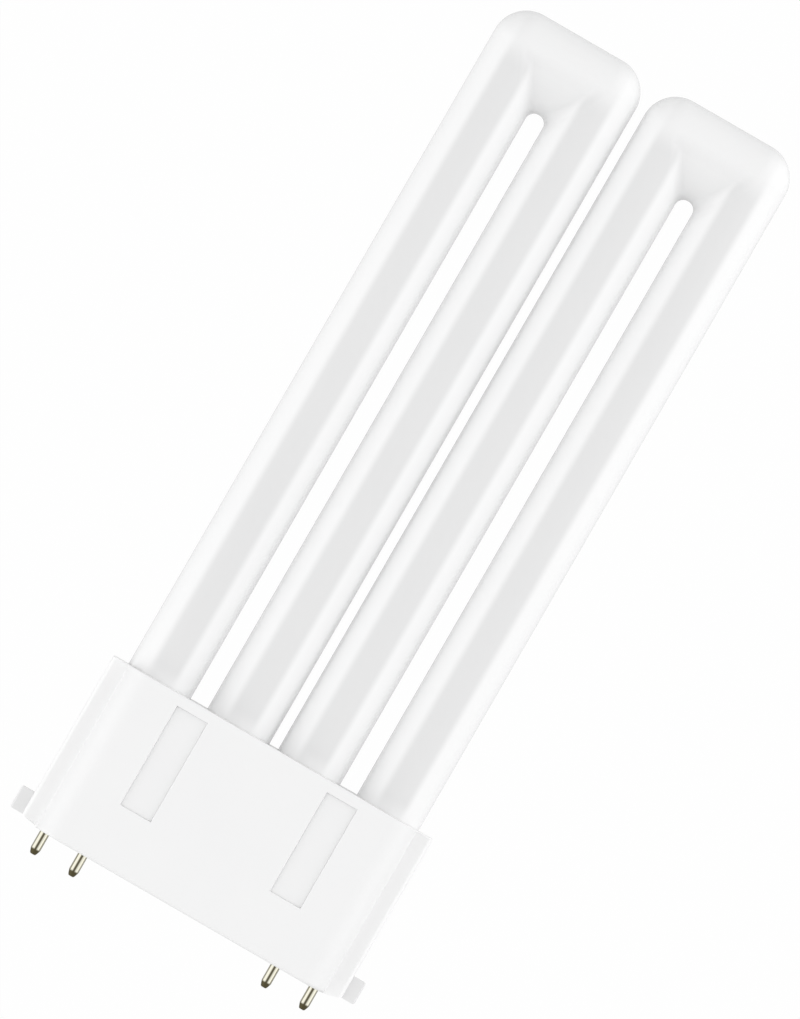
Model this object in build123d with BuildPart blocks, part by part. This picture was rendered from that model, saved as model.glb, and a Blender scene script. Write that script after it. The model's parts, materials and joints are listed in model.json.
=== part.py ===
from build123d import *
import os
from math import sqrt

os.makedirs("parts", exist_ok=True)

# A flat twin tube lamp lies on its back: X across, Y from the cap to the tube tips, Z out of the front.
# The origin is the middle of the cap's lower face. All sizes are in millimetres.

# Tubes
lamp_length = 217.0
leg_diameter = 16.2
u_gap = 2.3
tube_overhang = 0.45
bridge_height = 20.2
bridge_flat = 2.0
tube_wall = 1.2

# Base housing
base_height = 42.6
body_width = 75.0
body_depth = 23.0
body_corner = 6.0
base_wall = 1.8
floor_thickness = 2.2
driver_room = 22.4
foot_round = 0.8
flange_reach = 4.25
flange_depth = 8.0
flange_corner = 1.0
flange_rise = 1.1
flange_slope = 3.7
ear_reach = 3.2
ear_height = 5.6
ear_rise = 1.15
ear_depth = 5.0
ear_round = 0.4

# Latch windows and the insert that closes the mouth
window_width = 7.9
window_bottom = 14.2
window_rim = 2.6
window_gap = 0.2
tongue_thickness = 1.6
tongue_recess = 0.6
holder_thickness = 2.4
holder_clearance = 0.15
leg_clearance = 0.15

# Contact pins and their leads
pin_diameter = 2.4
pin_length = 5.7
pin_nose = 1.3
pin_tip_diameter = 1.3
pin_pitch = 10.0
pin_inset = 7.3
pin_seat_diameter = 2.8
pin_hole_clearance = 0.05
pin_collar_diameter = 4.4
pin_collar_thickness = 1.2
pin_tail = 3.0
pin_pocket_clearance = 0.2
lead_diameter = 1.0
lead_clearance = 0.05
lead_bend = 1.2
lead_stub = 2.2
lead_landing = 11.0

# LED strips
strip_width = 10.0
strip_thickness = 1.0
strip_clearance = 0.15
strip_end_gap = 3.0
strip_tail_width = 6.0
strip_tail_length = 5.0
chip_width = 2.8
chip_length = 3.5
chip_height = 0.8
chip_dish = 2.2
chip_dish_depth = 0.15
chip_pitch = 12.0
chip_margin = 4.0

# Driver board
board_side_gap = 1.2
board_height = 19.8
board_thickness = 1.6
board_gap = 0.5
board_rib_height = 2.5
board_rib_width = 2.0
board_rib_pitch = 52.0
connector_wall = 1.2
connector_depth = 4.0
connector_slot_depth = 2.6
connector_clearance = 0.1

# Driver parts; a rise is how far up the board the middle of the part sits
core_rise = 7.5
core_width = 15.0
core_depth = 6.5
core_height = 12.0
core_leg = 4.4
core_yoke = 2.2
bobbin_wall = 0.7
bobbin_depth = 12.0
bobbin_clearance = 0.15
coil_clearance = 0.1
input_capacitor_rise = 7.5
input_capacitor_diameter = 9.0
input_capacitor_height = 12.5
output_capacitor_rise = 3.6
output_capacitor_diameter = 6.3
output_capacitor_height = 11.0
can_groove = 0.4
can_groove_height = 1.6
can_edge = 0.5
film_capacitor_rise = 7.5
film_capacitor_size = (5.0, 10.0, 8.5)
film_capacitor_edge = 0.6
choke_rise = 11.4
choke_diameter = 7.8
choke_height = 8.0
choke_flange = 1.2
choke_winding = 6.8
rectifier_inset = 5.0
rectifier_rise = 2.6
rectifier_size = (4.6, 3.8, 2.4)
chip_inset = 5.0
chip_rise = 2.6
chip_size = (4.6, 3.8, 1.6)
terminal_width = 0.8
terminal_reach = 0.7
terminal_thickness = 0.3
fuse_rise = 7.5
fuse_diameter = 3.2
fuse_length = 8.0
fuse_end = 1.3
fuse_wire = 0.7
fuse_bend = 1.0

# Worked out from the sizes above
leg_radius = leg_diameter / 2
slot_width = (body_width + 2 * tube_overhang - 4 * leg_diameter - u_gap) / 2
leg_pitch = leg_diameter + slot_width
u_pitch = leg_pitch + leg_diameter + u_gap
u_centres = (-u_pitch / 2, u_pitch / 2)
leg_axes = [centre + side * leg_pitch / 2 for centre in u_centres for side in (-1, 1)]
dome_y = lamp_length - leg_radius
waist_y = dome_y - bridge_flat
waist_drop = bridge_height - leg_radius - bridge_flat
slot_end = lamp_length - bridge_height
tube_foot = floor_thickness + driver_room
flange_half = body_width / 2 + flange_reach
window_height = base_height - window_rim - window_bottom
inner_width = body_width - 2 * base_wall
inner_depth = body_depth - 2 * base_wall
inner_corner = body_corner - base_wall
collar_top = floor_thickness + pin_collar_thickness
pin_top = collar_top + pin_tail
pair_reach = body_width / 2 - pin_inset
pin_axes = [pair * pair_reach + side * pin_pitch / 2 for pair in (-1, 1) for side in (-1, 1)]
board_width = inner_width - 2 * board_side_gap
board_bottom = board_rib_height - inner_depth / 2
board_top = board_bottom + board_thickness
board_foot = floor_thickness + board_gap
strip_bottom = -sqrt((leg_radius - tube_wall - strip_clearance) ** 2 - (strip_width / 2) ** 2)
strip_top = strip_bottom + strip_thickness
strip_foot = tube_foot - strip_tail_length
strip_end = slot_end - strip_end_gap
STANDING = (Align.CENTER, Align.CENTER, Align.MIN)
CLIMBING = (Align.CENTER, Align.MIN, Align.MIN)


def level(y):
    """A sketch plane across the lamp at height y; a negative extrusion climbs towards the tips."""
    return Plane.XZ.offset(-y)


def u_form(skin, foot, mode):
    """A U on the middle plane, its surface drawn in by skin: two domed legs and the bridge between them."""
    radius = leg_radius - skin
    for leg_x in (-leg_pitch / 2, leg_pitch / 2):
        with BuildSketch(Plane.XY) as leg_profile:
            with BuildLine():
                Polyline((leg_x, dome_y + radius), (leg_x, foot), (leg_x + radius, foot))
                Line((leg_x + radius, foot), (leg_x + radius, dome_y))
                CenterArc((leg_x, dome_y), radius, 0, 90)
            make_face()
        revolve(leg_profile.sketch, axis=Axis((leg_x, 0, 0), (0, 1, 0)), mode=mode)
    with BuildSketch(Plane.YZ) as bridge_section:
        with BuildLine():
            Line((waist_y, radius), (dome_y, radius))
            CenterArc((dome_y, 0), radius, -90, 180)
            Line((dome_y, -radius), (waist_y, -radius))
            EllipticalCenterArc((waist_y, 0), waist_drop - skin, radius, 90, arc_size=180)
        make_face()
    extrude(bridge_section.sketch, amount=leg_pitch / 2, both=True, mode=mode)


# Base housing: a cup with side flanges, retaining ears and latch windows
with BuildPart() as base_housing:
    with BuildSketch(level(0)):
        RectangleRounded(body_width, body_depth, body_corner)
        RectangleRounded(2 * flange_half, flange_depth, flange_corner)
    extrude(amount=-base_height)
    with BuildSketch(Plane.XY):
        for side in (-1, 1):
            with BuildLine():
                Polyline(
                    (side * (flange_half - flange_slope), 0),
                    (side * flange_half, flange_rise),
                    (side * flange_half, 0),
                    close=True,
                )
            make_face()
    extrude(amount=body_depth, both=True, mode=Mode.SUBTRACT)
    fillet(base_housing.faces().sort_by(Axis.Y)[0].edges(), radius=foot_round)
    for side in (-1, 1):
        with Locations((side * flange_half, ear_rise + ear_height / 2, 0)):
            Box(2 * ear_reach, ear_height, ear_depth)
    ear_ends = base_housing.faces().sort_by(Axis.X)
    fillet(ear_ends[0].edges() + ear_ends[-1].edges(), radius=ear_round)
    with BuildSketch(level(floor_thickness)):
        RectangleRounded(inner_width, inner_depth, inner_corner)
    extrude(amount=-base_height, mode=Mode.SUBTRACT)
    with BuildSketch(level(tube_foot)):
        with Locations(*[(leg_x, 0) for leg_x in leg_axes]):
            Circle(leg_radius + leg_clearance)
    extrude(amount=tube_foot - base_height, mode=Mode.SUBTRACT)
    for centre in u_centres:
        with Locations((centre, window_bottom + window_height / 2, 0)):
            Box(window_width, window_height, 2 * body_depth, mode=Mode.SUBTRACT)
    with BuildSketch(level(0)):
        with Locations(*[(pin_x, 0) for pin_x in pin_axes]):
            Circle(pin_seat_diameter / 2 + pin_hole_clearance)
    extrude(amount=-floor_thickness, mode=Mode.SUBTRACT)
    with BuildSketch(level(floor_thickness)):
        with Locations(*[(pin_x, 0) for pin_x in pin_axes]):
            Circle(pin_collar_diameter / 2 + pin_pocket_clearance)
    extrude(amount=floor_thickness - pin_top, mode=Mode.SUBTRACT)
    for side in (-1, 1):
        with Locations((side * board_rib_pitch / 2, floor_thickness, board_bottom)):
            Box(board_rib_width, board_height, board_rib_height, align=(Align.CENTER, Align.MIN, Align.MAX))
base_housing.part.label = "base_housing"
export_step(base_housing.part, "parts/base_housing.step")

# Tube holder: a plate with four leg holes and four latch tongues
plate_depth = inner_depth - 2 * holder_clearance
plate_width = inner_width - 2 * holder_clearance
plate_corner = inner_corner - holder_clearance
tongue_width = window_width - 2 * window_gap
tongue_foot = window_bottom + window_gap
tongue_face = body_depth / 2 - tongue_recess
with BuildPart() as tube_holder:
    with BuildSketch(level(base_height - holder_thickness)):
        RectangleRounded(plate_width, plate_depth, plate_corner)
        with Locations(*[(leg_x, 0) for leg_x in leg_axes]):
            Circle(leg_radius + leg_clearance, mode=Mode.SUBTRACT)
    extrude(amount=-holder_thickness)
    for centre in u_centres:
        for side in (-1, 1):
            with BuildSketch(Plane.XY.offset(side * (plate_depth / 2 - tongue_thickness))):
                with Locations((centre, (tongue_foot + base_height) / 2)):
                    Rectangle(tongue_width, base_height - tongue_foot)
            extrude(amount=side * tongue_thickness)
            with BuildSketch(Plane.XY.offset(side * plate_depth / 2)):
                with Locations((centre, window_bottom + window_height / 2)):
                    Rectangle(tongue_width, window_height - 2 * window_gap)
            extrude(amount=side * (tongue_face - plate_depth / 2))
tube_holder.part.label = "tube_holder"
export_step(tube_holder.part, "parts/tube_holder.step")

# Diffuser tubes: two like hollow mouldings, whose legs meet the bridge in a mitred valley
with BuildPart() as u_tube:
    u_form(0, tube_foot, Mode.ADD)
    u_form(tube_wall, 0, Mode.SUBTRACT)
for name, centre in zip(("diffuser_tube_left", "diffuser_tube_right"), u_centres):
    with BuildPart() as diffuser_tube:
        with Locations((centre, 0, 0)):
            add(u_tube.part)
    diffuser_tube.part.label = name
    export_step(diffuser_tube.part, f"parts/{name}.step")

# Contact pins: hollow, with a collar on the inside of the floor and a crimped nose
bore_end = pin_nose - pin_length
pin_bore = lead_diameter + 2 * lead_clearance
for number, pin_x in enumerate(pin_axes, 1):
    with BuildPart() as contact_pin:
        with BuildSketch(Plane.XY):
            with BuildLine():
                Polyline(
                    (pin_x, -pin_length),
                    (pin_x + pin_tip_diameter / 2, -pin_length),
                    (pin_x + pin_diameter / 2, bore_end),
                    (pin_x + pin_diameter / 2, 0),
                    (pin_x + pin_seat_diameter / 2, 0),
                    (pin_x + pin_seat_diameter / 2, floor_thickness),
                    (pin_x + pin_collar_diameter / 2, floor_thickness),
                    (pin_x + pin_collar_diameter / 2, collar_top),
                    (pin_x + pin_diameter / 2, collar_top),
                    (pin_x + pin_diameter / 2, pin_top),
                    (pin_x + pin_bore / 2, pin_top),
                    (pin_x + pin_bore / 2, bore_end),
                    (pin_x, bore_end),
                    close=True,
                )
            make_face()
        revolve(axis=Axis((pin_x, 0, 0), (0, 1, 0)))
    contact_pin.part.label = f"contact_pin_{number}"
    export_step(contact_pin.part, f"parts/contact_pin_{number}.step")

# Pin leads: from the bore of each pin, over and down to the driver board
landing_limit = board_width / 2 - lead_diameter
for number, pin_x in enumerate(pin_axes, 1):
    landing_x = max(-landing_limit, min(landing_limit, pin_x))
    with BuildPart() as pin_lead:
        with BuildLine() as route:
            FilletPolyline(
                (pin_x, bore_end, 0),
                (pin_x, pin_top + lead_bend, 0),
                (landing_x, lead_landing, board_top + lead_stub),
                (landing_x, lead_landing, board_top),
                radius=lead_bend,
            )
        with BuildSketch(Plane(origin=(pin_x, bore_end, 0), z_dir=(0, 1, 0))):
            Circle(lead_diameter / 2)
        sweep(path=route.line)
    pin_lead.part.label = f"pin_lead_{number}"
    export_step(pin_lead.part, f"parts/pin_lead_{number}.step")

# LED strips with their packages, one in each leg, and the edge connectors that hold their tails
strip_length = strip_end - tube_foot
strip_middle = (strip_end + tube_foot) / 2
chip_count = 1 + int((strip_length - 2 * chip_margin) / chip_pitch)
connector_top = strip_top + connector_clearance + connector_wall
connector_width = strip_tail_width + 2 * (connector_clearance + connector_wall)
connector_foot = strip_foot - (connector_depth - connector_slot_depth) - connector_clearance
for number, leg_x in enumerate(leg_axes, 1):
    with BuildPart() as led_board:
        with BuildSketch(Plane.XY.offset(strip_bottom)):
            with Locations((leg_x, strip_middle)):
                Rectangle(strip_width, strip_length)
            with Locations((leg_x, tube_foot)):
                Rectangle(strip_tail_width, 2 * strip_tail_length)
        extrude(amount=strip_thickness)
    led_board.part.label = f"led_board_{number}"
    export_step(led_board.part, f"parts/led_board_{number}.step")

    with BuildPart() as led_chips:
        with Locations((leg_x, strip_middle, strip_top)):
            with GridLocations(chip_pitch, chip_pitch, 1, chip_count):
                Box(chip_width, chip_length, chip_height, align=STANDING)
        with Locations((leg_x, strip_middle, strip_top + chip_height)):
            with GridLocations(chip_pitch, chip_pitch, 1, chip_count):
                Cylinder(chip_dish / 2, 2 * chip_dish_depth, mode=Mode.SUBTRACT)
    led_chips.part.label = f"led_chips_{number}"
    export_step(led_chips.part, f"parts/led_chips_{number}.step")

    with BuildPart() as strip_connector:
        with Locations((leg_x, connector_foot, board_top)):
            Box(connector_width, connector_depth, connector_top - board_top, align=CLIMBING)
        with Locations((leg_x, strip_foot - connector_clearance, strip_bottom - connector_clearance)):
            Box(
                strip_tail_width + 2 * connector_clearance,
                connector_depth,
                strip_thickness + 2 * connector_clearance,
                align=CLIMBING,
                mode=Mode.SUBTRACT,
            )
    strip_connector.part.label = f"strip_connector_{number}"
    export_step(strip_connector.part, f"parts/strip_connector_{number}.step")

# Driver board, resting on the housing's two ribs
with BuildPart() as driver_board:
    with Locations((0, board_foot, board_bottom)):
        Box(board_width, board_height, board_thickness, align=CLIMBING)
driver_board.part.label = "driver_board"
export_step(driver_board.part, "parts/driver_board.step")


# The driver parts stand in a row between the two inner leads, with like gaps
row_start = pin_axes[1] + lead_diameter / 2
row_room = pin_axes[2] - pin_axes[1] - lead_diameter
row = (fuse_diameter, film_capacitor_size[0], input_capacitor_diameter, core_width, choke_diameter)
row_gap = (row_room - sum(row)) / (len(row) + 1)
row_x = [row_start + (n + 1) * row_gap + sum(row[:n]) + width / 2 for n, width in enumerate(row)]
fuse_place = (row_x[0], fuse_rise)
film_capacitor_place = (row_x[1], film_capacitor_rise)
input_capacitor_place = (row_x[2], input_capacitor_rise)
core_place = (row_x[3], core_rise)
choke_place = (row_x[4], choke_rise)
output_capacitor_place = (row_x[4], output_capacitor_rise)
rectifier_place = (rectifier_inset - board_width / 2, rectifier_rise)
chip_place = (board_width / 2 - chip_inset, chip_rise)


def on_board(place, height=0):
    """The point at a height over the board, for a place given from the middle of its lower edge."""
    return (place[0], board_foot + place[1], board_top + height)


# Transformer: a closed core, the bobbin on its middle leg and the winding on the bobbin
core_window = core_height - 2 * core_yoke
sleeve_width = core_leg + 2 * (bobbin_clearance + bobbin_wall)
sleeve_depth = core_depth + 2 * (bobbin_clearance + bobbin_wall)
bobbin_width = core_width - 2 * (core_yoke + bobbin_clearance)
with BuildPart() as transformer_core:
    with Locations(on_board(core_place)):
        Box(core_width, core_depth, core_height, align=STANDING)
    with Locations(on_board(core_place, core_yoke)):
        Box(core_width - 2 * core_yoke, core_depth, core_window, align=STANDING, mode=Mode.SUBTRACT)
        Box(core_leg, core_depth, core_window, align=STANDING)
transformer_core.part.label = "transformer_core"
export_step(transformer_core.part, "parts/transformer_core.step")

with BuildPart() as transformer_bobbin:
    with Locations(on_board(core_place, core_yoke)):
        Box(sleeve_width, sleeve_depth, core_window - bobbin_clearance, align=STANDING)
        Box(bobbin_width, bobbin_depth, bobbin_wall, align=STANDING)
    with Locations(on_board(core_place, core_yoke + core_window - bobbin_clearance - bobbin_wall)):
        Box(bobbin_width, bobbin_depth, bobbin_wall, align=STANDING)
    with Locations(on_board(core_place, core_yoke)):
        Box(
            core_leg + 2 * bobbin_clearance,
            core_depth + 2 * bobbin_clearance,
            core_window,
            align=STANDING,
            mode=Mode.SUBTRACT,
        )
transformer_bobbin.part.label = "transformer_bobbin"
export_step(transformer_bobbin.part, "parts/transformer_bobbin.step")

coil_height = core_window - bobbin_clearance - 2 * (bobbin_wall + coil_clearance)
with BuildPart() as transformer_coil:
    with BuildSketch(Plane(origin=on_board(core_place, core_yoke + bobbin_wall + coil_clearance))):
        RectangleRounded(bobbin_width - bobbin_wall, bobbin_depth - bobbin_wall, bobbin_wall)
        Rectangle(sleeve_width + 2 * coil_clearance, sleeve_depth + 2 * coil_clearance, mode=Mode.SUBTRACT)
    extrude(amount=coil_height)
transformer_coil.part.label = "transformer_coil"
export_step(transformer_coil.part, "parts/transformer_coil.step")

# Capacitor cans: standing cylinders with a rolled groove near the foot
cans = {
    "input_capacitor": (input_capacitor_place, input_capacitor_diameter, input_capacitor_height),
    "output_capacitor": (output_capacitor_place, output_capacitor_diameter, output_capacitor_height),
}
for name, (place, diameter, height) in cans.items():
    with BuildPart() as can:
        with Locations(on_board(place)):
            Cylinder(diameter / 2, height, align=STANDING)
        fillet(can.faces().sort_by(Axis.Z)[-1].edges(), radius=can_edge)
        with BuildSketch(Plane.XZ.offset(-on_board(place)[1])) as groove:
            with Locations((place[0] + diameter / 2, board_top + can_groove_height)):
                Circle(can_groove)
        revolve(axis=Axis(on_board(place), (0, 0, 1)), mode=Mode.SUBTRACT)
    can.part.label = name
    export_step(can.part, f"parts/{name}.step")

with BuildPart() as film_capacitor:
    with Locations(on_board(film_capacitor_place)):
        Box(*film_capacitor_size, align=STANDING)
    fillet(film_capacitor.faces().sort_by(Axis.Z)[-1].edges(), radius=film_capacitor_edge)
film_capacitor.part.label = "film_capacitor"
export_step(film_capacitor.part, "parts/film_capacitor.step")

# Filter choke: a drum with its winding between two flanges
with BuildPart() as filter_choke:
    with Locations(on_board(choke_place)):
        Cylinder(choke_diameter / 2, choke_flange, align=STANDING)
        Cylinder(choke_winding / 2, choke_height, align=STANDING)
    with Locations(on_board(choke_place, choke_height - choke_flange)):
        Cylinder(choke_diameter / 2, choke_flange, align=STANDING)
filter_choke.part.label = "filter_choke"
export_step(filter_choke.part, "parts/filter_choke.step")

# Surface-mounted blocks: a body with two flat terminals on each side
blocks = {"bridge_rectifier": (rectifier_place, rectifier_size), "control_chip": (chip_place, chip_size)}
for name, (place, size) in blocks.items():
    with BuildPart() as block:
        with Locations(on_board(place)):
            Box(*size, align=STANDING)
            with GridLocations(size[0] / 2, 0, 2, 1):
                Box(terminal_width, size[1] + 2 * terminal_reach, terminal_thickness, align=STANDING)
    block.part.label = name
    export_step(block.part, f"parts/{name}.step")

# Fuse resistor: an axial body on two bent wires, lying up the board
fuse_span = fuse_length / 2 + fuse_bend + fuse_wire
fuse_axis_height = fuse_diameter / 2 + fuse_wire / 2
fuse_feet = [(fuse_place[0], fuse_place[1] + side * fuse_span) for side in (-1, 1)]
with BuildPart() as fuse_resistor:
    with BuildSketch(level(board_foot + fuse_place[1])):
        with Locations((fuse_place[0], board_top + fuse_axis_height)):
            Circle(fuse_diameter / 2 - fuse_wire / 4)
    extrude(amount=fuse_length / 2, both=True)
    for side in (-1, 1):
        with BuildSketch(level(board_foot + fuse_place[1] + side * (fuse_length / 2 - fuse_end))):
            with Locations((fuse_place[0], board_top + fuse_axis_height)):
                Circle(fuse_diameter / 2)
        extrude(amount=-side * fuse_end)
    with BuildLine() as fuse_route:
        FilletPolyline(
            on_board(fuse_feet[0]),
            on_board(fuse_feet[0], fuse_axis_height),
            on_board(fuse_feet[1], fuse_axis_height),
            on_board(fuse_feet[1]),
            radius=fuse_bend,
        )
    with BuildSketch(Plane(origin=on_board(fuse_feet[0]))):
        Circle(fuse_wire / 2)
    sweep(path=fuse_route.line)
fuse_resistor.part.label = "fuse_resistor"
export_step(fuse_resistor.part, "parts/fuse_resistor.step")
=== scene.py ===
# %% [markdown]
# # A flat twin tube lamp
# Two opal U tubes stand side by side in one white cap with four contact pins. The solid model of the lamp
# is loaded first and stays as it is: it gives the sizes and the places. What shows from outside is then
# modelled again with softer edges and finer detail. The driver and the LED strips are hidden inside, so
# they keep their solids and only get a finish.

# %% Load the solid model
import json
from math import cos, pi, radians, sin

import bmesh
import bpy
from mathutils import Matrix, Vector

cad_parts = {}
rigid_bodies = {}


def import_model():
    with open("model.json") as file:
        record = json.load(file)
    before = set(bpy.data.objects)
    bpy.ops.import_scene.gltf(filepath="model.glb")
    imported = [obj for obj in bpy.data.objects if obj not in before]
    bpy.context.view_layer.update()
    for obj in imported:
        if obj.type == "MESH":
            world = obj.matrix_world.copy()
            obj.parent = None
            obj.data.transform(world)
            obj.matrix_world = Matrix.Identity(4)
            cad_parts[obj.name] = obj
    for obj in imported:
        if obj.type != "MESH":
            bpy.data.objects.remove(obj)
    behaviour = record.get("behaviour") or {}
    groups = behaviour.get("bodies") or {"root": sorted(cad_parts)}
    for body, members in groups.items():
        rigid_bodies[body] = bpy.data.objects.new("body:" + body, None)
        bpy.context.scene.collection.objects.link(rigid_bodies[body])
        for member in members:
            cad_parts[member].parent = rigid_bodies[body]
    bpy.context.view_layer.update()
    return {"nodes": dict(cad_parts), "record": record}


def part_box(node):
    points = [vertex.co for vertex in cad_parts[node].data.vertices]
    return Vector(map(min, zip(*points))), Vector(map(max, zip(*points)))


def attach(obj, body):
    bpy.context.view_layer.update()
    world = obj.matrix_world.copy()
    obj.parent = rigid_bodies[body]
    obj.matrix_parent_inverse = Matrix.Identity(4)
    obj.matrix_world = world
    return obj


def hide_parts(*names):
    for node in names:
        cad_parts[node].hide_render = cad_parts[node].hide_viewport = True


for leftover in list(bpy.data.objects):
    bpy.data.objects.remove(leftover)
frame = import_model()
mm = 0.001

# %% [markdown]
# A new piece has to land where its solid is. Its sizes could be typed in once more, but then a change in
# the solids would leave it behind. So the sizes that the pieces share are read from the solids' boxes and
# from the mounts in the record, and the two that no box shows are written here. The lamp is the same left
# and right and front and back, so most of them are halves, counted from the middle. A box carries the tiny
# errors of a mesh, so it is rounded to the micrometre, and faces that should meet do meet.

# %% Shared sizes
def corner_of(node, which):
    """The lowest (0) or highest (1) corner of a solid's box, to the micrometre."""
    return [round(length, 6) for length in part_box(node)[which]]


ear_half, cap_height, body_front = corner_of("base_housing", 1)
tube_near, tube_foot = corner_of("diffuser_tube_right", 0)[:2]
tube_far, tube_top, leg_radius = corner_of("diffuser_tube_right", 1)
u_reach = (tube_near + tube_far) / 2
leg_reach = (tube_far - tube_near) / 2 - leg_radius
leg_axes = [u + leg for u in (-u_reach, u_reach) for leg in (-leg_reach, leg_reach)]
pin_mounts = [mount for mount in frame["record"]["mounts"] if mount["kind"] == "pin"]
pin_axes = sorted(mount["pos_m"][0] for mount in pin_mounts)
pin_tip = corner_of("contact_pin_1", 0)[1]
body_half = 37.5 * mm
flange_half = 41.75 * mm
print("legs at", [round(x / mm, 2) for x in leg_axes], "pins at", [round(x / mm, 2) for x in pin_axes])

# %% [markdown]
# An operator works on everything that is selected, so a piece is always taken up alone. A new primitive
# would keep its place and its turn on the object. They are put into its mesh at once, because a finish
# reads the place of a point from there. Four small helpers do this, so that the modelling steps stay
# short.

# %% Taking up a piece
def take(piece):
    """Selects one piece alone and makes it the active one."""
    bpy.ops.object.select_all(action="DESELECT")
    bpy.context.view_layer.objects.active = piece
    piece.select_set(True)


def start(primitive, name, **where):
    """Adds a primitive as a new piece whose place is in its mesh."""
    bpy.ops.object.select_all(action="DESELECT")
    primitive(**where)
    piece = bpy.context.active_object
    piece.name = piece.data.name = name
    bpy.ops.object.transform_apply(location=True, rotation=True, scale=True)
    return piece


def edit(piece):
    """Opens a piece in edit mode."""
    take(piece)
    bpy.ops.object.mode_set(mode="EDIT")


def leave():
    """Goes back to object mode."""
    bpy.ops.object.mode_set(mode="OBJECT")


print("helpers to take up a piece ready")

# %% [markdown]
# With a window, a modeller draws a box round the edges or faces to work on. Here they are picked by a
# test on where they are. Two places count as the same when less than a hair is between them, because sums
# of lengths are never quite exact. A modifier is applied at once, so that the next step sees its result.

# %% Picking and modifiers
hair = 0.001 * mm
straight_share = 0.999


def pick(kind, test, along=None):
    """Selects the edges or faces whose corners all pass the test on their place.

    Edges may be kept to those that run along one axis."""
    data = bpy.context.edit_object.data
    bpy.ops.mesh.select_mode(type=kind)
    bpy.ops.mesh.select_all(action="DESELECT")
    mesh = bmesh.from_edit_mesh(data)
    found = 0
    for item in {"EDGE": mesh.edges, "FACE": mesh.faces}[kind]:
        run = item.verts[-1].co - item.verts[0].co
        straight = along is None or abs(run[along]) > straight_share * run.length
        if straight and all(test(corner.co) for corner in item.verts):
            item.select_set(True)
            found += 1
    bmesh.update_edit_mesh(data)
    return found


def apply(piece, kind, **settings):
    """Adds a modifier with its settings and applies it."""
    take(piece)
    modifier = piece.modifiers.new(kind, kind)
    for key, value in settings.items():
        setattr(modifier, key, value)
    bpy.ops.object.modifier_apply(modifier=modifier.name)


def faces_of(piece):
    """The name of a piece and how many faces it has, to print."""
    return f"{piece.name}: {len(piece.data.polygons)} faces"


print("helpers to pick and to apply ready")

# %% [markdown]
# A finish is a web of nodes, and its maths is easier to read as sums. So a Wire holds one output socket.
# Adding, subtracting or multiplying wires puts in the Math nodes, and `node` puts in any other node, with
# its settings first and then the values or wires for its sockets.

# %% The wire class
class Wire:
    """An output socket of a finish, which can be added, subtracted and multiplied."""

    def __init__(self, socket):
        self.socket = socket

    def node(self, kind, settings, sockets, out=0):
        """Any node, with its settings and the values or wires of its sockets."""
        tree = self.socket.id_data
        made = tree.nodes.new(kind)
        for key, value in settings.items():
            setattr(made, key, value)
        for key, value in sockets.items():
            if isinstance(value, Wire):
                tree.links.new(value.socket, made.inputs[key])
            else:
                made.inputs[key].default_value = value
        return Wire(made.outputs[out])

    def maths(self, operation, left, right):
        """A Math node on two values."""
        return self.node("ShaderNodeMath", {"operation": operation}, {0: left, 1: right})

    def __add__(self, other):
        return self.maths("ADD", self, other)

    def __radd__(self, other):
        return self.maths("ADD", other, self)

    def __sub__(self, other):
        return self.maths("SUBTRACT", self, other)

    def __rsub__(self, other):
        return self.maths("SUBTRACT", other, self)

    def __mul__(self, other):
        return self.maths("MULTIPLY", self, other)

    def __rmul__(self, other):
        return self.maths("MULTIPLY", other, self)


print("wire class ready")

# %% [markdown]
# Every finish of the lamp is made from the same few things: soft spots, streaks, and a smooth step from
# one tone to the next. Each gets a short name here. They read the place of a point on the piece and never
# where the camera stands, so a finish looks the same from all sides.

# %% Places, spots and steps
def noise(place, size, detail=2.0):
    """Soft random spots of about that size, in metres, from 0 to 1."""
    return place.node("ShaderNodeTexNoise", {}, {"Vector": place, "Scale": 1 / size, "Detail": detail})


def stretched(place, scale):
    """Coordinates scaled along each axis, so that spots become streaks."""
    return place.node("ShaderNodeMapping", {}, {"Vector": place, "Scale": scale})


def axis_of(place, index):
    """One of the three coordinates."""
    return place.node("ShaderNodeSeparateXYZ", {}, {"Vector": place}, out=index)


def size_of(value):
    """A value without its sign."""
    return value.maths("ABSOLUTE", value, 0.0)


def ramp(value, low, high):
    """0 below low, 1 above high and a smooth rise between."""
    settings = {"interpolation_type": "SMOOTHSTEP"}
    return value.node("ShaderNodeMapRange", settings, {"Value": value, "From Min": low, "From Max": high})


print("places, spots and steps ready")

# %% [markdown]
# A finish starts as an empty material, mixes its tones, and ends in one shader that is laid on as its
# surface. Only the colour, the roughness and the relief change over a piece. What is the same all over,
# such as the index of refraction, is set on the shader itself.

# %% Tones and shaders
def new_finish(name):
    """An empty material, with the wire of its Object coordinates."""
    finish = bpy.data.materials.new(f"{name}_finish")
    finish.use_nodes = True
    finish.node_tree.nodes.clear()
    return finish, Wire(finish.node_tree.nodes.new("ShaderNodeTexCoord").outputs["Object"])


def lay_on(finish, shader):
    """Makes a shader the surface of a finish."""
    output = finish.node_tree.nodes.new("ShaderNodeOutputMaterial")
    finish.node_tree.links.new(shader.socket, output.inputs["Surface"])
    return finish


def blend(factor, first, second):
    """A colour between two colours."""
    return factor.node("ShaderNodeMix", {"data_type": "RGBA"}, {0: factor, 6: first, 7: second}, out=2)


def tones(spots, light, dark):
    """Two tones of one colour, mixed by soft spots."""
    return blend(spots, (*light, 1), (*dark, 1))


def relief(height, depth):
    """A bump of that depth in metres, for the Normal socket."""
    return height.node("ShaderNodeBump", {}, {"Height": height, "Distance": depth, "Strength": 1.0})


def shade(place, colour, roughness, normal, **constants):
    """The one shader of a finish."""
    sockets = {"Base Color": colour, "Roughness": roughness, "Normal": normal, **constants}
    return place.node("ShaderNodeBsdfPrincipled", {}, sockets)


finishes = {}
plastic_ior = 1.5
print("tones and shaders ready")

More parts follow.
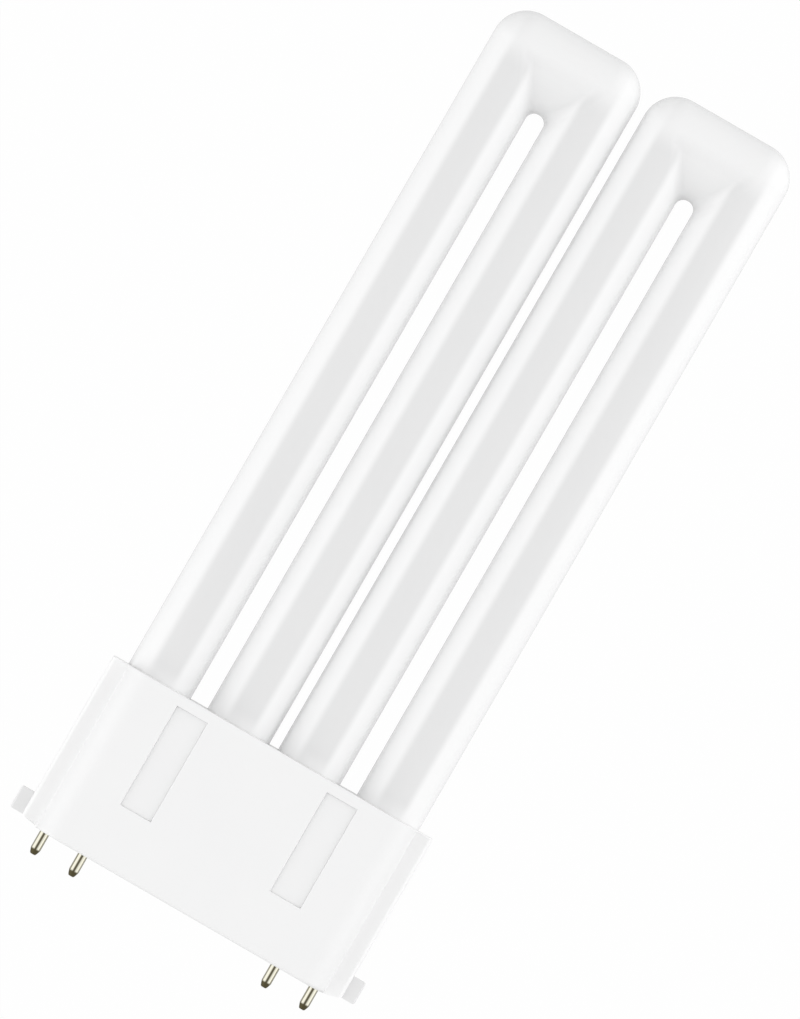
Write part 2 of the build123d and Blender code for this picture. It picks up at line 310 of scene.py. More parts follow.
# %% [markdown]
# ## Opal plastic
# The tubes are moulded from a milky plastic with a bright gloss. Their tone is painted with light and
# shade. Down the middle of each leg the colour is painted greyer, as painted shade where a dark reflection
# falls, and the flanks are painted lighter, as the side lights show them. The tips are painted lighter too,
# and so is the foot by the cap, against the shade that the cap casts. The bridge is in
# between: painted darker low down, where it faces the slot, and lighter towards the top. The band could be
# painted on the mesh, but paint is only as fine as the mesh. So it is worked out from the place of a point:
# how far it is from the axis of its leg, how far up the lamp, and how far past the soft step where the
# bridge begins. A share of 1 is the light tone, and 0 is the painted shade of the band. A shallow waviness
# bends the reflections a little, as on any long moulding.

# %% Opal finish
step_x = 6.75 * mm
step_y = tube_top - 14 * mm
step_normal = Vector((1, 0.486, 0)).normalized()
shade_band_edge = (2.4 * mm, 4.3 * mm)
bridge_edge = (-0.5 * mm, 1.5 * mm)
bridge_light_rise = (tube_top - 16 * mm, tube_top - 8 * mm)
# Painted light: the tips are lighter, and the foot is lighter against the shade that the cap casts.
tip_light_rise = (step_y, tube_top - 7 * mm)
foot_light_fade = (cap_height, cap_height + 4.4 * mm)
tip_light, foot_light = 0.75, 0.72
# Painted shade low on the bridge, where it faces the slot, and painted light towards its top.
bridge_light, bridge_top_light = 0.45, 0.3
finish, place = new_finish("opal_plastic")
cloud = noise(place, 30 * mm)
wave = noise(stretched(place, (1, 0.5, 1)), 9 * mm, 1.0)
height = axis_of(place, 1)
off_middle = size_of(size_of(axis_of(place, 0)) - u_reach)
# Painted shade and light: a greyer band down the middle of each leg, and lighter flanks.
lit_flank = ramp(size_of(off_middle - leg_reach), *shade_band_edge)
# Painted light on the tips, and on the foot against the cap's shade.
lit_tip_and_foot = tip_light * ramp(height, *tip_light_rise) + foot_light * (1 - ramp(height, *foot_light_fade))
leg_lit_share = lit_flank + lit_tip_and_foot - lit_flank * lit_tip_and_foot
past_step = step_normal.x * (step_x - off_middle) + step_normal.y * (height - step_y)
# Painted shade low on the bridge and painted light towards its top.
bridge_lit_share = bridge_light + bridge_top_light * ramp(height, *bridge_light_rise)
lit_share = leg_lit_share + ramp(past_step, *bridge_edge) * (bridge_lit_share - leg_lit_share)
# The light tone is painted light on flanks, tips and foot; the grey tone below is the painted shade of the
# band.
lit_tone = tones(cloud, (0.935, 0.935, 0.935), (0.915, 0.916, 0.918))
band_shade_tone = tones(cloud, (0.80, 0.80, 0.80), (0.78, 0.781, 0.783))
opal_colour = blend(lit_share, band_shade_tone, lit_tone)
opal = shade(place, opal_colour, 0.09 + 0.05 * cloud, relief(wave, 0.05 * mm), IOR=plastic_ior)
finishes["opal_plastic"] = lay_on(finish, opal)
print("finish:", finish.name)

# %% [markdown]
# ## Housing plastic
# The cap is a white engineering plastic with a satin skin, which it takes from a spark-eroded mould. One
# flat white would look like paper. So two noises make it: a fine one for the skin, and a wide one for
# slow changes in tone and gloss. The side flanges are painted a touch lighter, as painted light against the
# shade of the cup's wall beside them, and the small ears at their feet are greyer, so the colour changes at
# two lines on each side.

# %% Housing finish
line_soft = 0.1 * mm
flange_line = body_half + 0.15 * mm
flange_painted_light = (0.945, 0.945, 0.945, 1)
ear_grey = (0.82, 0.82, 0.82, 1)
finish, place = new_finish("housing_plastic")
skin = noise(place, 0.35 * mm, 3.0)
cloud = noise(place, 14 * mm)
side = size_of(axis_of(place, 0))
# Painted light: the flanges are lighter, against the shade of the cup's wall.
flange_light_mask = ramp(side, flange_line - line_soft, flange_line + line_soft)
on_ear = ramp(side, flange_half - line_soft, flange_half + line_soft)
cup_white = tones(cloud, (0.905, 0.905, 0.905), (0.885, 0.886, 0.888))
housing_colour = blend(on_ear, blend(flange_light_mask, cup_white, flange_painted_light), ear_grey)
satin = 0.28 + 0.06 * cloud + 0.04 * skin
housing = shade(place, housing_colour, satin, relief(skin, 0.006 * mm), IOR=plastic_ior)
finishes["housing_plastic"] = lay_on(finish, housing)
print("finish:", finish.name)

# %% [markdown]
# The insert with the latch tongues is a second moulding in nearly the same white. It could share the
# finish of the cap, but then the pads in the windows would look like part of it. So the skin is finer,
# and the white is a little more matt.

# %% Holder finish
finish, place = new_finish("holder_plastic")
skin = noise(place, 0.25 * mm, 3.0)
cloud = noise(place, 10 * mm)
holder_colour = tones(cloud, (0.895, 0.895, 0.895), (0.875, 0.876, 0.878))
holder = shade(place, holder_colour, 0.36 + 0.08 * cloud, relief(skin, 0.004 * mm), IOR=plastic_ior)
finishes["holder_plastic"] = lay_on(finish, holder)
print("finish:", finish.name)

# %% [markdown]
# ## Contact metal
# The pins are rolled from brass strip with a thin pale plating. Painted reflections: a dark line runs down
# the middle of each, the sides are painted darker, and the crimped nose is painted dark, where a shiny pin
# mirrors dark surroundings. Rolling leaves fine lines along the pin, so the noise is stretched that way.
# The dark line is a hair wide, so it is left to the colour, worked out from the distance to the pin's own
# axis.

# %% Contact finish
pair_reach = (pin_axes[2] + pin_axes[3]) / 2
pair_half = (pin_axes[3] - pin_axes[2]) / 2
dark_nose_rise = (pin_tip + 1.1 * mm, pin_tip + 1.6 * mm)
dark_line_edge = (0.15 * mm, 0.36 * mm)
dark_side_edge = (0.78 * mm, 1.0 * mm)
dark_line_share, dark_side_share = 0.95, 0.65
# The dark tone of the painted reflections on the pins.
dark_reflection_tone = (0.11, 0.095, 0.05, 1)
finish, place = new_finish("contact_metal")
lines = noise(stretched(place, (1, 0.04, 1)), 0.16 * mm, 3.0)
# Painted reflection: the nose is dark.
dark_nose = 1 - ramp(axis_of(place, 1), *dark_nose_rise)
off_pair = size_of(size_of(axis_of(place, 0)) - pair_reach)
off_pin = size_of(off_pair - pair_half)
# Painted reflections: a dark line down the middle of each pin and darker sides.
painted_reflection_mask = dark_line_share * (1 - ramp(off_pin, *dark_line_edge)) + dark_side_share * ramp(off_pin, *dark_side_edge)
plating = tones(lines, (0.985, 0.965, 0.84), (0.93, 0.895, 0.72))
contact_colour = blend(dark_nose, blend(painted_reflection_mask, plating, dark_reflection_tone), dark_reflection_tone)
gloss = 0.08 + 0.06 * lines + 0.2 * dark_nose
contact = shade(place, contact_colour, gloss, relief(lines, 0.006 * mm), Metallic=1.0)
finishes["contact_metal"] = lay_on(finish, contact)
print("finish:", finish.name)

# %% [markdown]
# ## Opal tubes
# Each tube is a U: two round legs, joined at the tips by a bridge. It could be a pipe along a curve, but
# a curve can't give the sharp inner corner and the round outer one. So half a U is drawn from one ring.
# The ring is pulled up to be the leg, its inner side is sliced off along the mitre, and its outer side is
# spun over to be a quarter of a ball. Extra rows are cut near the mitre, so that later steps bend short
# faces and not long ones.

# %% Half a tube
ring_points = 128
leg_x = -leg_reach
dome_y = tube_top - leg_radius
waist_y = dome_y - 2 * mm
slot_end = tube_top - 20.2 * mm
mitre_at = Vector((leg_x, waist_y, 0))
mitre_normal = Vector((waist_y - slot_end, leg_radius, 0)).normalized()
valley_reach = Vector((0, 5 * mm, 0))
dome_rows = (-5 * mm, 0, 0.5 * mm, 1 * mm, 1.5 * mm)


def off_mitre(co):
    """How far a point is above the mitre plane."""
    return (co - mitre_at).dot(mitre_normal)


tube = start(
    bpy.ops.mesh.primitive_circle_add, "diffuser_left",
    vertices=ring_points, radius=leg_radius, location=(leg_x, tube_foot, 0), rotation=(pi / 2, 0, 0),
)
edit(tube)
bpy.ops.mesh.select_all(action="SELECT")
bpy.ops.mesh.extrude_region_move(TRANSFORM_OT_translate={"value": (0, dome_y - tube_foot, 0)})
pick("FACE", lambda co: co.x > leg_x - hair)
bpy.ops.mesh.split()
bpy.ops.mesh.bisect(plane_co=mitre_at, plane_no=mitre_normal, clear_outer=True, threshold=hair)
pick("FACE", lambda co: co.x > leg_x - hair)
bpy.ops.mesh.bisect(plane_co=mitre_at - valley_reach, plane_no=mitre_normal, threshold=hair)
for row in dome_rows:
    pick("FACE", lambda co: co.x < leg_x + hair)
    bpy.ops.mesh.bisect(plane_co=(leg_x, waist_y + row, 0), plane_no=(0, 1, 0), threshold=hair)
pick("EDGE", lambda co: co.y > dome_y - hair and co.x < leg_x + hair)
bpy.ops.mesh.spin(steps=ring_points // 4, angle=pi / 2, center=(leg_x, dome_y, 0), axis=(0, 0, 1))
leave()
print(faces_of(tube), "top at", round(max(v.co.y for v in tube.data.vertices) / mm, 2))

# %% [markdown]
# The open edge now runs from the slot up the mitre and over the top. The bridge could be a pipe of its
# own, to be joined on, but then the edges wouldn't meet. So the edge is extruded, and its copy is scaled
# flat onto the middle plane, which pulls the bridge out of it. Its lower half comes out oval, because the
# mitre is steeper than 45 degrees. The valley between leg and bridge is then rounded.

# %% Bridge and valley
valley_round = 2.1 * mm


def on_seam(co):
    """True on the edge that the bridge starts from."""
    above = co.y > waist_y - hair and abs(co.x - leg_x) < hair
    return above or (co.x > leg_x - hair and abs(off_mitre(co)) < hair)


edit(tube)
bpy.ops.mesh.select_all(action="SELECT")
bpy.ops.mesh.remove_doubles(threshold=hair)
seam_edges = pick("EDGE", on_seam)
bpy.ops.mesh.extrude_region_move()
bpy.ops.transform.resize(value=(0, 1, 1), center_override=(0, 0, 0))
bpy.ops.mesh.select_all(action="SELECT")
bpy.ops.mesh.normals_make_consistent(inside=False)
valley_edges = pick("EDGE", lambda co: co.x > leg_x + hair and abs(off_mitre(co)) < hair)
bpy.ops.mesh.bevel(offset=valley_round, offset_type="ABSOLUTE", segments=10, profile=0.5, affect="EDGES")
leave()
print(faces_of(tube), "seam edges", seam_edges, "valley edges", valley_edges)

# %% [markdown]
# On the real lamp the bridge lies a little lower than the legs on the side of the slot, so a soft step
# runs beside each valley and catches the light. A sculpting brush could press it in, but hardly the same
# on front and back. So rows are cut along the step, and a Displace modifier presses the bridge in with
# weights that fade out across the step. A mirror closes the U, and Solidify gives the wall its thickness,
# inwards.

# %% Press the bridge in
step_at = Vector((-step_x, step_y, 0))
step_half = 1.8 * mm
step_rows = [n * step_half / 3 for n in range(-3, 4)]
press_depth = 1.5 * mm
press_fade = (tube_top - 11.5 * mm, tube_top - 7.5 * mm)
rows_from = slot_end - 6 * mm
tube_wall = 1.2 * mm


def off_step(co):
    """How far a point is past the step, on the bridge's side."""
    return (co - step_at).dot(step_normal)


def soft_step(value, low, high):
    """0 below low, 1 above high and a smooth rise between."""
    share = min(max((value - low) / (high - low), 0), 1)
    return share * share * (3 - 2 * share)


edit(tube)
for row in step_rows:
    pick("FACE", lambda co: co.y > rows_from)
    bpy.ops.mesh.bisect(plane_co=step_at + row * step_normal, plane_no=step_normal, threshold=hair)
leave()
for face, group_name in ((1, "front"), (-1, "back")):
    group = tube.vertex_groups.new(name=group_name)
    for vertex in tube.data.vertices:
        across = soft_step(off_step(vertex.co), -step_half, step_half)
        fade = 1 - soft_step(vertex.co.y, *press_fade)
        outwards = max(face * vertex.co.z / leg_radius, 0)
        group.add([vertex.index], outwards * across * fade, "REPLACE")
    depth = -face * press_depth
    apply(tube, "DISPLACE", direction="Z", strength=depth, mid_level=0, vertex_group=group_name)
tube.vertex_groups.clear()
apply(tube, "MIRROR", use_axis=(True, False, False), merge_threshold=hair)
apply(tube, "SOLIDIFY", thickness=tube_wall, offset=-1)
print(faces_of(tube))

# %% [markdown]
# Both tubes come from the same mould. A linked copy would share one mesh, and then its place couldn't go
# into the mesh. So the second tube is a copy with a mesh of its own, and each is slid out to its side.
# Then each piece is told its finish, the body that carries it and the solid that it stands for.

# %% Two tubes
def smooth(piece, degrees=35):
    """Smooth shading that keeps flat faces flat."""
    take(piece)
    bpy.ops.object.shade_smooth_by_angle(angle=radians(degrees))
    apply(piece, "WEIGHTED_NORMAL", keep_sharp=True, weight=100)


def slide(piece, shift):
    """Moves a piece along X and puts its new place into its mesh."""
    take(piece)
    bpy.ops.transform.translate(value=(shift, 0, 0))
    bpy.ops.object.transform_apply(location=True, rotation=False, scale=False)


def copy_to(piece, name, shift):
    """A copy with its own mesh, moved along X."""
    take(piece)
    bpy.ops.object.duplicate()
    twin = bpy.context.active_object
    twin.name = twin.data.name = name
    slide(twin, shift)
    return twin


def settle(piece, finish_name, *nodes):
    """Gives a piece its finish, its body and the solids that it stands for."""
    piece.data.materials.clear()
    piece.data.materials.append(finishes[finish_name])
    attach(piece, "root")
    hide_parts(*nodes)


smooth(tube)
right_tube = copy_to(tube, "diffuser_right", u_reach)
slide(tube, -u_reach)
settle(tube, "opal_plastic", "diffuser_tube_left")
settle(right_tube, "opal_plastic", "diffuser_tube_right")
print(faces_of(tube), "and", faces_of(right_tube))

# %% [markdown]
# ## Cap housing
# The cap is a deep cup moulded in one piece, with a flange down each side and an ear at the foot of each
# flange. Its outline could be drawn and pulled up, but two blocks are quicker: their long edges are
# rounded, and they are joined into one. The corner where flange and cup meet is filled with a small
# radius, as a moulder needs it. Rounding comes before hollowing, while the edges are still simple.

# %% Cap outside
body_corner = 6 * mm
flange_front = 4 * mm
flange_corner = 1 * mm
step_round = 0.3 * mm


def box_piece(name, low, high):
    """A block between two corners, to be shaped further."""
    size = [b - a for a, b in zip(low, high)]
    middle = [(a + b) / 2 for a, b in zip(low, high)]
    return start(bpy.ops.mesh.primitive_cube_add, name, size=1, location=middle, scale=size)


def carve(piece, tool, how="DIFFERENCE"):
    """Cuts a tool out of a piece, or joins it on, and clears the tool away."""
    apply(piece, "BOOLEAN", object=tool, operation=how, solver="EXACT")
    bpy.data.objects.remove(tool)


def near(value, target):
    """True where two lengths are the same to a hair."""
    return abs(value - target) < hair


def anywhere(co):
    """True for every point."""
    return True


def round_edges(test, radius, segments, along=None):
    """Rounds the edges whose ends both pass the test, or chamfers them with one segment."""
    found = pick("EDGE", test, along)
    bpy.ops.mesh.bevel(offset=radius, segments=segments, profile=0.5, affect="EDGES")
    return found


def on_step(co):
    """True in the corner where a flange meets the cup."""
    return near(abs(co.x), body_half) and near(abs(co.z), flange_front)


cap = box_piece("cap_housing", (-body_half, 0, -body_front), (body_half, cap_height, body_front))
edit(cap)
round_edges(anywhere, body_corner, 20, along=1)
leave()
flange = box_piece("flange", (-flange_half, 0, -flange_front), (flange_half, cap_height, flange_front))
edit(flange)
round_edges(anywhere, flange_corner, 6, along=1)
leave()
carve(cap, flange, "UNION")
edit(cap)
bpy.ops.mesh.select_all(action="SELECT")
bpy.ops.mesh.dissolve_limited(angle_limit=radians(0.5))
steps = round_edges(on_step, step_round, 8)
leave()
print(faces_of(cap), "step edges", steps)

# %% [markdown]
# The foot of each flange rises at a slant, so that the cap finds its way into the lamp holder, and a
# spring clip of the holder snaps over each ear. Corners could be moved one by one to make the slant, but
# one slice on each side is exact. The foot and the rim are rounded before the ears are joined on, because
# a bevel that runs into an ear would tear.

# %% Slanted feet, round rims and ears
slant_run = 3.7 * mm
slant_rise = 1.1 * mm
foot_round = 0.8 * mm
rim_round = 0.3 * mm
ear_root = flange_half - 1 * mm
ear_low, ear_high = 1.15 * mm, 6.75 * mm
ear_front = 2.5 * mm
ear_round = 0.4 * mm
edit(cap)
for side in (-1, 1):
    bpy.ops.mesh.select_all(action="SELECT")
    bpy.ops.mesh.bisect(
        plane_co=(side * (flange_half - slant_run), 0, 0), plane_no=(side * slant_rise, -slant_run, 0),
        use_fill=True, clear_outer=True, threshold=hair,
    )
foot = round_edges(lambda co: co.y < hair, foot_round, 5)
rim = round_edges(lambda co: near(co.y, cap_height), rim_round, 4)
leave()
for side in (-1, 1):
    inner_x, outer_x = sorted((side * ear_root, side * ear_half))
    ear = box_piece("ear", (inner_x, ear_low, -ear_front), (outer_x, ear_high, ear_front))
    edit(ear)
    round_edges(lambda co: near(abs(co.x), ear_half), ear_round, 4)
    leave()
    carve(cap, ear, "UNION")
print(faces_of(cap), "foot edges", foot, "rim edges", rim)

# %% [markdown]
# The cup is hollow, to take the driver. A wall could be given to the shell with Solidify, but the flanges
# and the ears have to stay solid. So a smaller rounded block is cut out instead.

# %% Cap inside
wall = 1.8 * mm
floor_thickness = 2.2 * mm
above = cap_height + 5 * mm
room_half, room_front = body_half - wall, body_front - wall
room = box_piece("room", (-room_half, floor_thickness, -room_front), (room_half, above, room_front))
edit(room)
round_edges(anywhere, body_corner - wall, 12, along=1)
leave()
carve(cap, room)
print(faces_of(cap))

# %% [markdown]
# The two outer legs reach into the side walls of the cup, and the pins go through its floor. Holes could
# be drawn on the faces and pushed through, but such a leg only takes a bite out of its wall. So a round
# bar for each outer leg and for each pin is cut out, with a little clearance. Two ribs on the back wall
# carry the driver board.

# %% Bites and ribs
leg_sides, pin_sides = 96, 32
leg_hole = leg_radius + 0.15 * mm
pin_hole = 1.45 * mm
collar_hole = 2.4 * mm
collar_top = 6.4 * mm
rib_reach = 26 * mm
rib_half = 1 * mm
rib_top = 22 * mm
rib_back, rib_front = -9.9 * mm, -7.2 * mm
rib_root = floor_thickness - 0.2 * mm


def rod(name, x, low, high, radius, sides):
    """A round bar along Y, as a tool to cut with."""
    return start(
        bpy.ops.mesh.primitive_cylinder_add, name, vertices=sides, radius=radius, depth=high - low,
        location=(x, (low + high) / 2, 0), rotation=(pi / 2, 0, 0),
    )


for x in (leg_axes[0], leg_axes[-1]):
    carve(cap, rod("leg_bite", x, tube_foot, above, leg_hole, leg_sides))
for x in pin_axes:
    carve(cap, rod("pin_bite", x, -above, floor_thickness + 1 * mm, pin_hole, pin_sides))
    carve(cap, rod("collar_bite", x, floor_thickness, collar_top, collar_hole, pin_sides))
for x in (-rib_reach, rib_reach):
    rib = box_piece("rib", (x - rib_half, rib_root, rib_back), (x + rib_half, rib_top, rib_front))
    carve(cap, rib, "UNION")
print(faces_of(cap))

# %% [markdown]
# Two windows on the front and two on the back let the latch tongues of the insert snap out. Each could be
# cut by itself, but they lie behind one another, so one long block cuts a pair. A fine chamfer on the rim
# of each window catches the light, as a moulded edge does.

# %% Latch windows
window_half = 3.95 * mm
window_low, window_high = 14.2 * mm, 40 * mm
window_reach = 20 * mm
window_chamfer = 0.15 * mm


def on_window_rim(co):
    """True on the outer rim of a window."""
    beside = abs(abs(co.x) - u_reach) < window_half + hair
    return near(abs(co.z), body_front) and beside and window_low - hair < co.y < window_high + hair


for x in (-u_reach, u_reach):
    low_corner = (x - window_half, window_low, -window_reach)
    high_corner = (x + window_half, window_high, window_reach)
    carve(cap, box_piece("window", low_corner, high_corner))
edit(cap)
rims = round_edges(on_window_rim, window_chamfer, 1)
leave()
smooth(cap)
settle(cap, "housing_plastic", "base_housing")
print(faces_of(cap), "window rim edges", rims)

# %% [markdown]
# ## Tube holder
# A plate fills the mouth of the cup and guides the four legs. Its outline could be traced along the
# inside of the cup, but the block that hollowed the cup already has that outline. So the plate is the
# same kind of block, smaller by a thin gap. The holes for the legs come last, when the tongues are on.

# %% Holder plate
plate_gap = 0.15 * mm
plate_half = room_half - plate_gap
plate_front = room_front - plate_gap
plate_foot = cap_height - 2.4 * mm
plate_low_corner = (-plate_half, plate_foot, -plate_front)
plate = box_piece("tube_holder_insert", plate_low_corner, (plate_half, cap_height, plate_front))
edit(plate)
round_edges(anywhere, body_corner - wall - plate_gap, 12, along=1)
leave()
print(faces_of(plate))

# %% [markdown]
# Four tongues hang down from the plate and snap out through the windows. A tongue is a flat bar with a
# pad that fills its window, and it could be one block with a cut. Two blocks are simpler, because only
# the pad has its edges chamfered. The pad lies a little below the front of the cap, so that the rim
# shades its edges softly, and only a hair is left between pad and window.

# %% Latch tongues and leg holes
tongue_thickness = 1.6 * mm
tongue_root = plate_foot + 0.8 * mm
pad_gap = 0.004 * mm
pad_half = window_half - pad_gap
pad_low, pad_high = window_low + pad_gap, window_high - pad_gap
pad_face = body_front - 0.6 * mm
pad_root = plate_front - 0.55 * mm
pad_chamfer = 0.1 * mm
for x in (-u_reach, u_reach):
    for side in (-1, 1):
        low_z, high_z = sorted((side * (plate_front - tongue_thickness), side * plate_front))
        bar = box_piece("bar", (x - pad_half, pad_low, low_z), (x + pad_half, tongue_root, high_z))
        carve(plate, bar, "UNION")
        low_z, high_z = sorted((side * pad_root, side * pad_face))
        pad = box_piece("pad", (x - pad_half, pad_low, low_z), (x + pad_half, pad_high, high_z))
        edit(pad)
        round_edges(lambda co: near(abs(co.z), pad_face), pad_chamfer, 1)
        leave()
        carve(plate, pad, "UNION")
for x in leg_axes:
    carve(plate, rod("leg_bite", x, tube_foot, above, leg_hole, leg_sides))
smooth(plate)
settle(plate, "holder_plastic", "tube_holder")
print(faces_of(plate))

# %% [markdown]
# ## Contact pins
# A pin is hollow, with a collar that holds it inside the cap and a crimped, tapered nose. It could be a
# profile turned with Screw. Here one ring of points is pulled along the axis and made wider or narrower
# at each step of the profile, the way a lathe hand reads a drawing. The bore comes first, then the
# outside from the tail down to the nose. The steps are heights and radii in millimetres, as on a drawing.

# %% One contact pin
bore_end, bore_radius = -4.4, 0.55
tail = [(6.4, 0.55), (6.4, 1.1), (6.3, 1.2), (3.4, 1.2)]
collar = [(3.4, 2.1), (3.3, 2.2), (2.3, 2.2), (2.2, 2.1)]
shank = [(2.2, 1.4), (0.0, 1.4), (0.0, 1.2), (-4.2, 1.2)]
crimp = [(-4.4, 1.16), (-5.0, 0.95), (-5.4, 0.80), (-5.62, 0.66), (-5.7, 0.5)]
pin = start(
    bpy.ops.mesh.primitive_circle_add, "pin_1", vertices=48, radius=bore_radius * mm, fill_type="NGON",
    location=(pin_axes[0], bore_end * mm, 0), rotation=(pi / 2, 0, 0),
)
edit(pin)
pick("EDGE", anywhere)
last_y, last_r = bore_end, bore_radius
for y, r in tail + collar + shank + crimp:
    bpy.ops.mesh.extrude_edges_move(TRANSFORM_OT_translate={"value": (0, (y - last_y) * mm, 0)})
    if r != last_r:
        grow = r / last_r
        bpy.ops.transform.resize(value=(grow, 1, grow), center_override=(pin_axes[0], y * mm, 0))
    last_y, last_r = y, r
bpy.ops.mesh.edge_face_add()
bpy.ops.mesh.select_all(action="SELECT")
bpy.ops.mesh.normals_make_consistent(inside=False)
leave()
smooth(pin, 40)
print(faces_of(pin))

# %% [markdown]
# The four pins are alike. Each could be pulled up by itself, but a copy is exact, so the first is copied to
# the places of the others. Each copy has its own mesh and stands for its own solid.

# %% Four contact pins
pins = [pin]
for number in (2, 3, 4):
    pins.append(copy_to(pin, f"pin_{number}", pin_axes[number - 1] - pin_axes[0]))
for number, piece in enumerate(pins, 1):
    settle(piece, "contact_metal", f"contact_pin_{number}")
print([faces_of(piece) for piece in pins])

# %% [markdown]
# ## Inside the lamp
# The driver, the LED strips and the leads are out of sight, so their solids stay and only get a finish.
# Each is two tones of a colour in soft spots of the right size, with a roughness and a fine relief. A row
# of the table gives the light tone, the dark tone, the roughness, how metallic it is and the size of its
# spots in millimetres.

# %% Inner finishes
rough_change = 0.12
spot_depth = 0.01 * mm
inner = {
    "strip_aluminium": ((0.86, 0.86, 0.85), (0.78, 0.78, 0.77), 0.45, 0.0, 0.3),
    "led_package": ((0.88, 0.74, 0.30), (0.80, 0.62, 0.20), 0.35, 0.0, 0.6),
    "connector_plastic": ((0.82, 0.80, 0.74), (0.76, 0.74, 0.68), 0.45, 0.0, 0.5),
    "board_laminate": ((0.05, 0.22, 0.09), (0.04, 0.17, 0.07), 0.35, 0.0, 0.4),
    "ferrite": ((0.07, 0.07, 0.075), (0.045, 0.045, 0.05), 0.55, 0.0, 0.3),
    "black_plastic": ((0.035, 0.035, 0.037), (0.025, 0.025, 0.026), 0.45, 0.0, 0.4),
    "copper_winding": ((0.72, 0.32, 0.12), (0.58, 0.23, 0.08), 0.30, 1.0, 0.2),
    "capacitor_can": ((0.10, 0.11, 0.16), (0.07, 0.08, 0.12), 0.30, 0.0, 1.0),
    "film_case": ((0.62, 0.12, 0.05), (0.52, 0.09, 0.04), 0.35, 0.0, 0.8),
    "resistor_lacquer": ((0.42, 0.52, 0.50), (0.34, 0.44, 0.42), 0.35, 0.0, 0.5),
    "lead_insulation": ((0.75, 0.73, 0.68), (0.66, 0.64, 0.60), 0.50, 0.0, 0.4),
}
for name, (light, dark, rough, metal, spot) in inner.items():
    finish, place = new_finish(name)
    spots = noise(place, spot * mm, 3.0)
    colour = tones(spots, light, dark)
    coat = shade(place, colour, rough + rough_change * spots, relief(spots, spot_depth), Metallic=metal)
    finishes[name] = lay_on(finish, coat)
print("inner finishes:", len(inner))

# %% [markdown]
# Every solid needs its finish. A table of all their names would do, but like solids have a common start
# to their names, so a table from that start to a finish is enough. The solids that a new piece stands for
# get theirs too, though they are hidden.

# %% Finish every solid
slot_of = {
    "led_board": "strip_aluminium", "led_chips": "led_package", "strip_connector": "connector_plastic",
    "pin_lead": "lead_insulation", "driver_board": "board_laminate", "transformer_core": "ferrite",
    "transformer_bobbin": "black_plastic", "transformer_coil": "copper_winding",
    "input_capacitor": "capacitor_can", "output_capacitor": "capacitor_can", "film_capacitor": "film_case",
    "filter_choke": "ferrite", "bridge_rectifier": "black_plastic", "control_chip": "black_plastic",
    "fuse_resistor": "resistor_lacquer", "diffuser_tube": "opal_plastic", "base_housing": "housing_plastic",
    "tube_holder": "holder_plastic", "contact_pin": "contact_metal",
}
for name, node in frame["nodes"].items():
    kind = next(key for key in slot_of if name.startswith(key))
    for material_slot in node.material_slots:
        material_slot.material = finishes[slot_of[kind]]
print("solids finished:", len(frame["nodes"]))

# %% [markdown]
# ## Floor
# The lamp lies on its back, as on clear glass some way above a white table, so that its shadow falls wide
# and soft. The glass itself isn't modelled. The table could be lit until it looks white, but that light
# would fall on the lamp too. So the table glows for the rays that the camera sees it by, straight or
# through something clear, and glows less in reflections. For all other rays it is plain matt paint.

# %% Floor
floor_z = -150 * mm
floor_size = 40
paint = (0.55, 0.55, 0.55, 1)
seen_share, shine_share = 0.985, 0.4
floor = start(bpy.ops.mesh.primitive_plane_add, "floor", size=floor_size, location=(0, 0.1, floor_z))
finish, place = new_finish("white_table")
seen = place.node("ShaderNodeLightPath", {}, {}, out="Is Camera Ray")
shine = place.node("ShaderNodeLightPath", {}, {}, out="Is Glossy Ray")
through = place.node("ShaderNodeLightPath", {}, {}, out="Is Transmission Ray")
matt = place.node("ShaderNodeBsdfDiffuse", {}, {"Color": paint})
glow = place.node("ShaderNodeEmission", {}, {"Color": (1, 1, 1, 1), "Strength": 1.0})
glow_share = seen_share * seen + shine_share * shine + seen_share * through
table = place.node("ShaderNodeMixShader", {}, {0: glow_share, 1: matt, 2: glow})
floor.data.materials.append(lay_on(finish, table))
print("floor at", round(floor_z / mm), "mm")

# %% [markdown]
# ## Light
# Two tall panels stand left and right of the camera's view, which is turned by 30 degrees, and an even
# white world fills in. A panel that is bright enough to light the flanks would burn out in the gloss of
# the tubes. So each is split in two: a light that gloss doesn't show, and close behind it a weaker one
# that only gloss shows. They stand a little apart, because two lights in one place hide each other. The
# power grows with the size of a panel, so that a level stands for the same brightness on both.

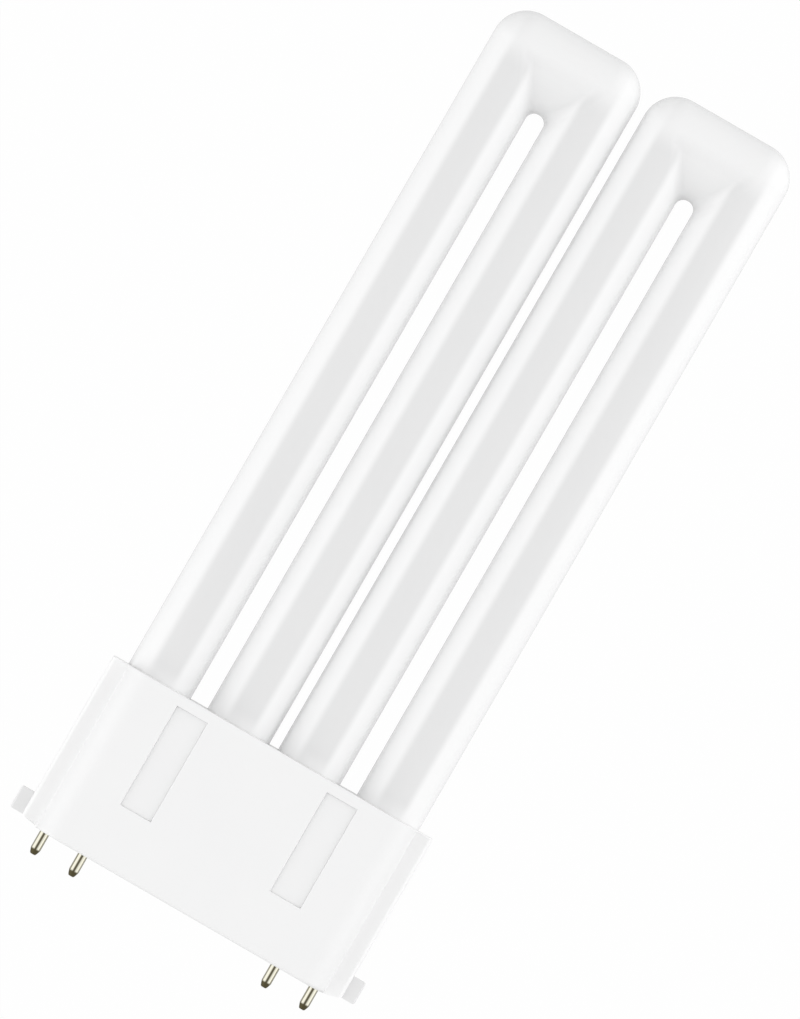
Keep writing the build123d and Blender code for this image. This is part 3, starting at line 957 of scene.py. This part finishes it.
# %% Light
view_turn = radians(30)
right_way = Vector((cos(view_turn), sin(view_turn), 0))
out_way = Vector((0, 0, 1))
middle = Vector((-2.10 * mm, 103.63 * mm, 0))
panel_far = 1.0
panel_long = 2.0
shine_level = 0.25
shine_back = 0.02
world_level = 0.76


def panel(name, towards, top, light_level):
    """A panel that stands on the floor in some direction: its light, and what gloss shows of it."""
    turn = Matrix((out_way.cross(towards), out_way, towards)).transposed().to_4x4()
    for part, level, back in (("light", light_level, 0), ("shine", shine_level, shine_back)):
        spot = middle + towards * (panel_far + back) + out_way * (floor_z + top) / 2
        light = bpy.data.lights.new(f"{name}_{part}", "AREA")
        light.shape = "RECTANGLE"
        light.size, light.size_y = panel_long, top - floor_z
        light.energy = level * pi * light.size * light.size_y
        stand = bpy.data.objects.new(f"{name}_{part}", light)
        bpy.context.scene.collection.objects.link(stand)
        stand.matrix_world = Matrix.Translation(spot) @ turn
        stand.visible_glossy = part == "shine"
        stand.visible_diffuse = part == "light"
        print(stand.name, "level", level, "power", round(light.energy, 1))


panel("left_panel", -right_way, 1.34, 0.9)
panel("right_panel", right_way, 1.06, 1.05)
world = bpy.data.worlds.new("studio")
bpy.context.scene.world = world
world.use_nodes = True
world.node_tree.nodes["Background"].inputs["Color"].default_value = (1, 1, 1, 1)
world.node_tree.nodes["Background"].inputs["Strength"].default_value = world_level

# %% [markdown]
# ## Camera
# The camera looks straight down on the lamp. It could be an orthographic one, which no real camera is. A
# very long lens far away gives nearly parallel rays too, as in a catalogue picture. The lens follows from
# the distance and from the height that the picture shows.

# %% Camera
camera_far = 4.0
picture_height = 231.07 * mm
camera_data = bpy.data.cameras.new("camera")
camera_data.sensor_width = 36.0
camera_data.lens = camera_data.sensor_width * camera_far / picture_height
camera_data.clip_end = 100.0
camera = bpy.data.objects.new("camera", camera_data)
bpy.context.scene.collection.objects.link(camera)
camera.location = middle + out_way * camera_far
camera.rotation_euler = (0, 0, view_turn)
bpy.context.scene.camera = camera
bpy.context.scene.view_settings.view_transform = "Standard"
print("lens", round(camera_data.lens, 1), "mm")
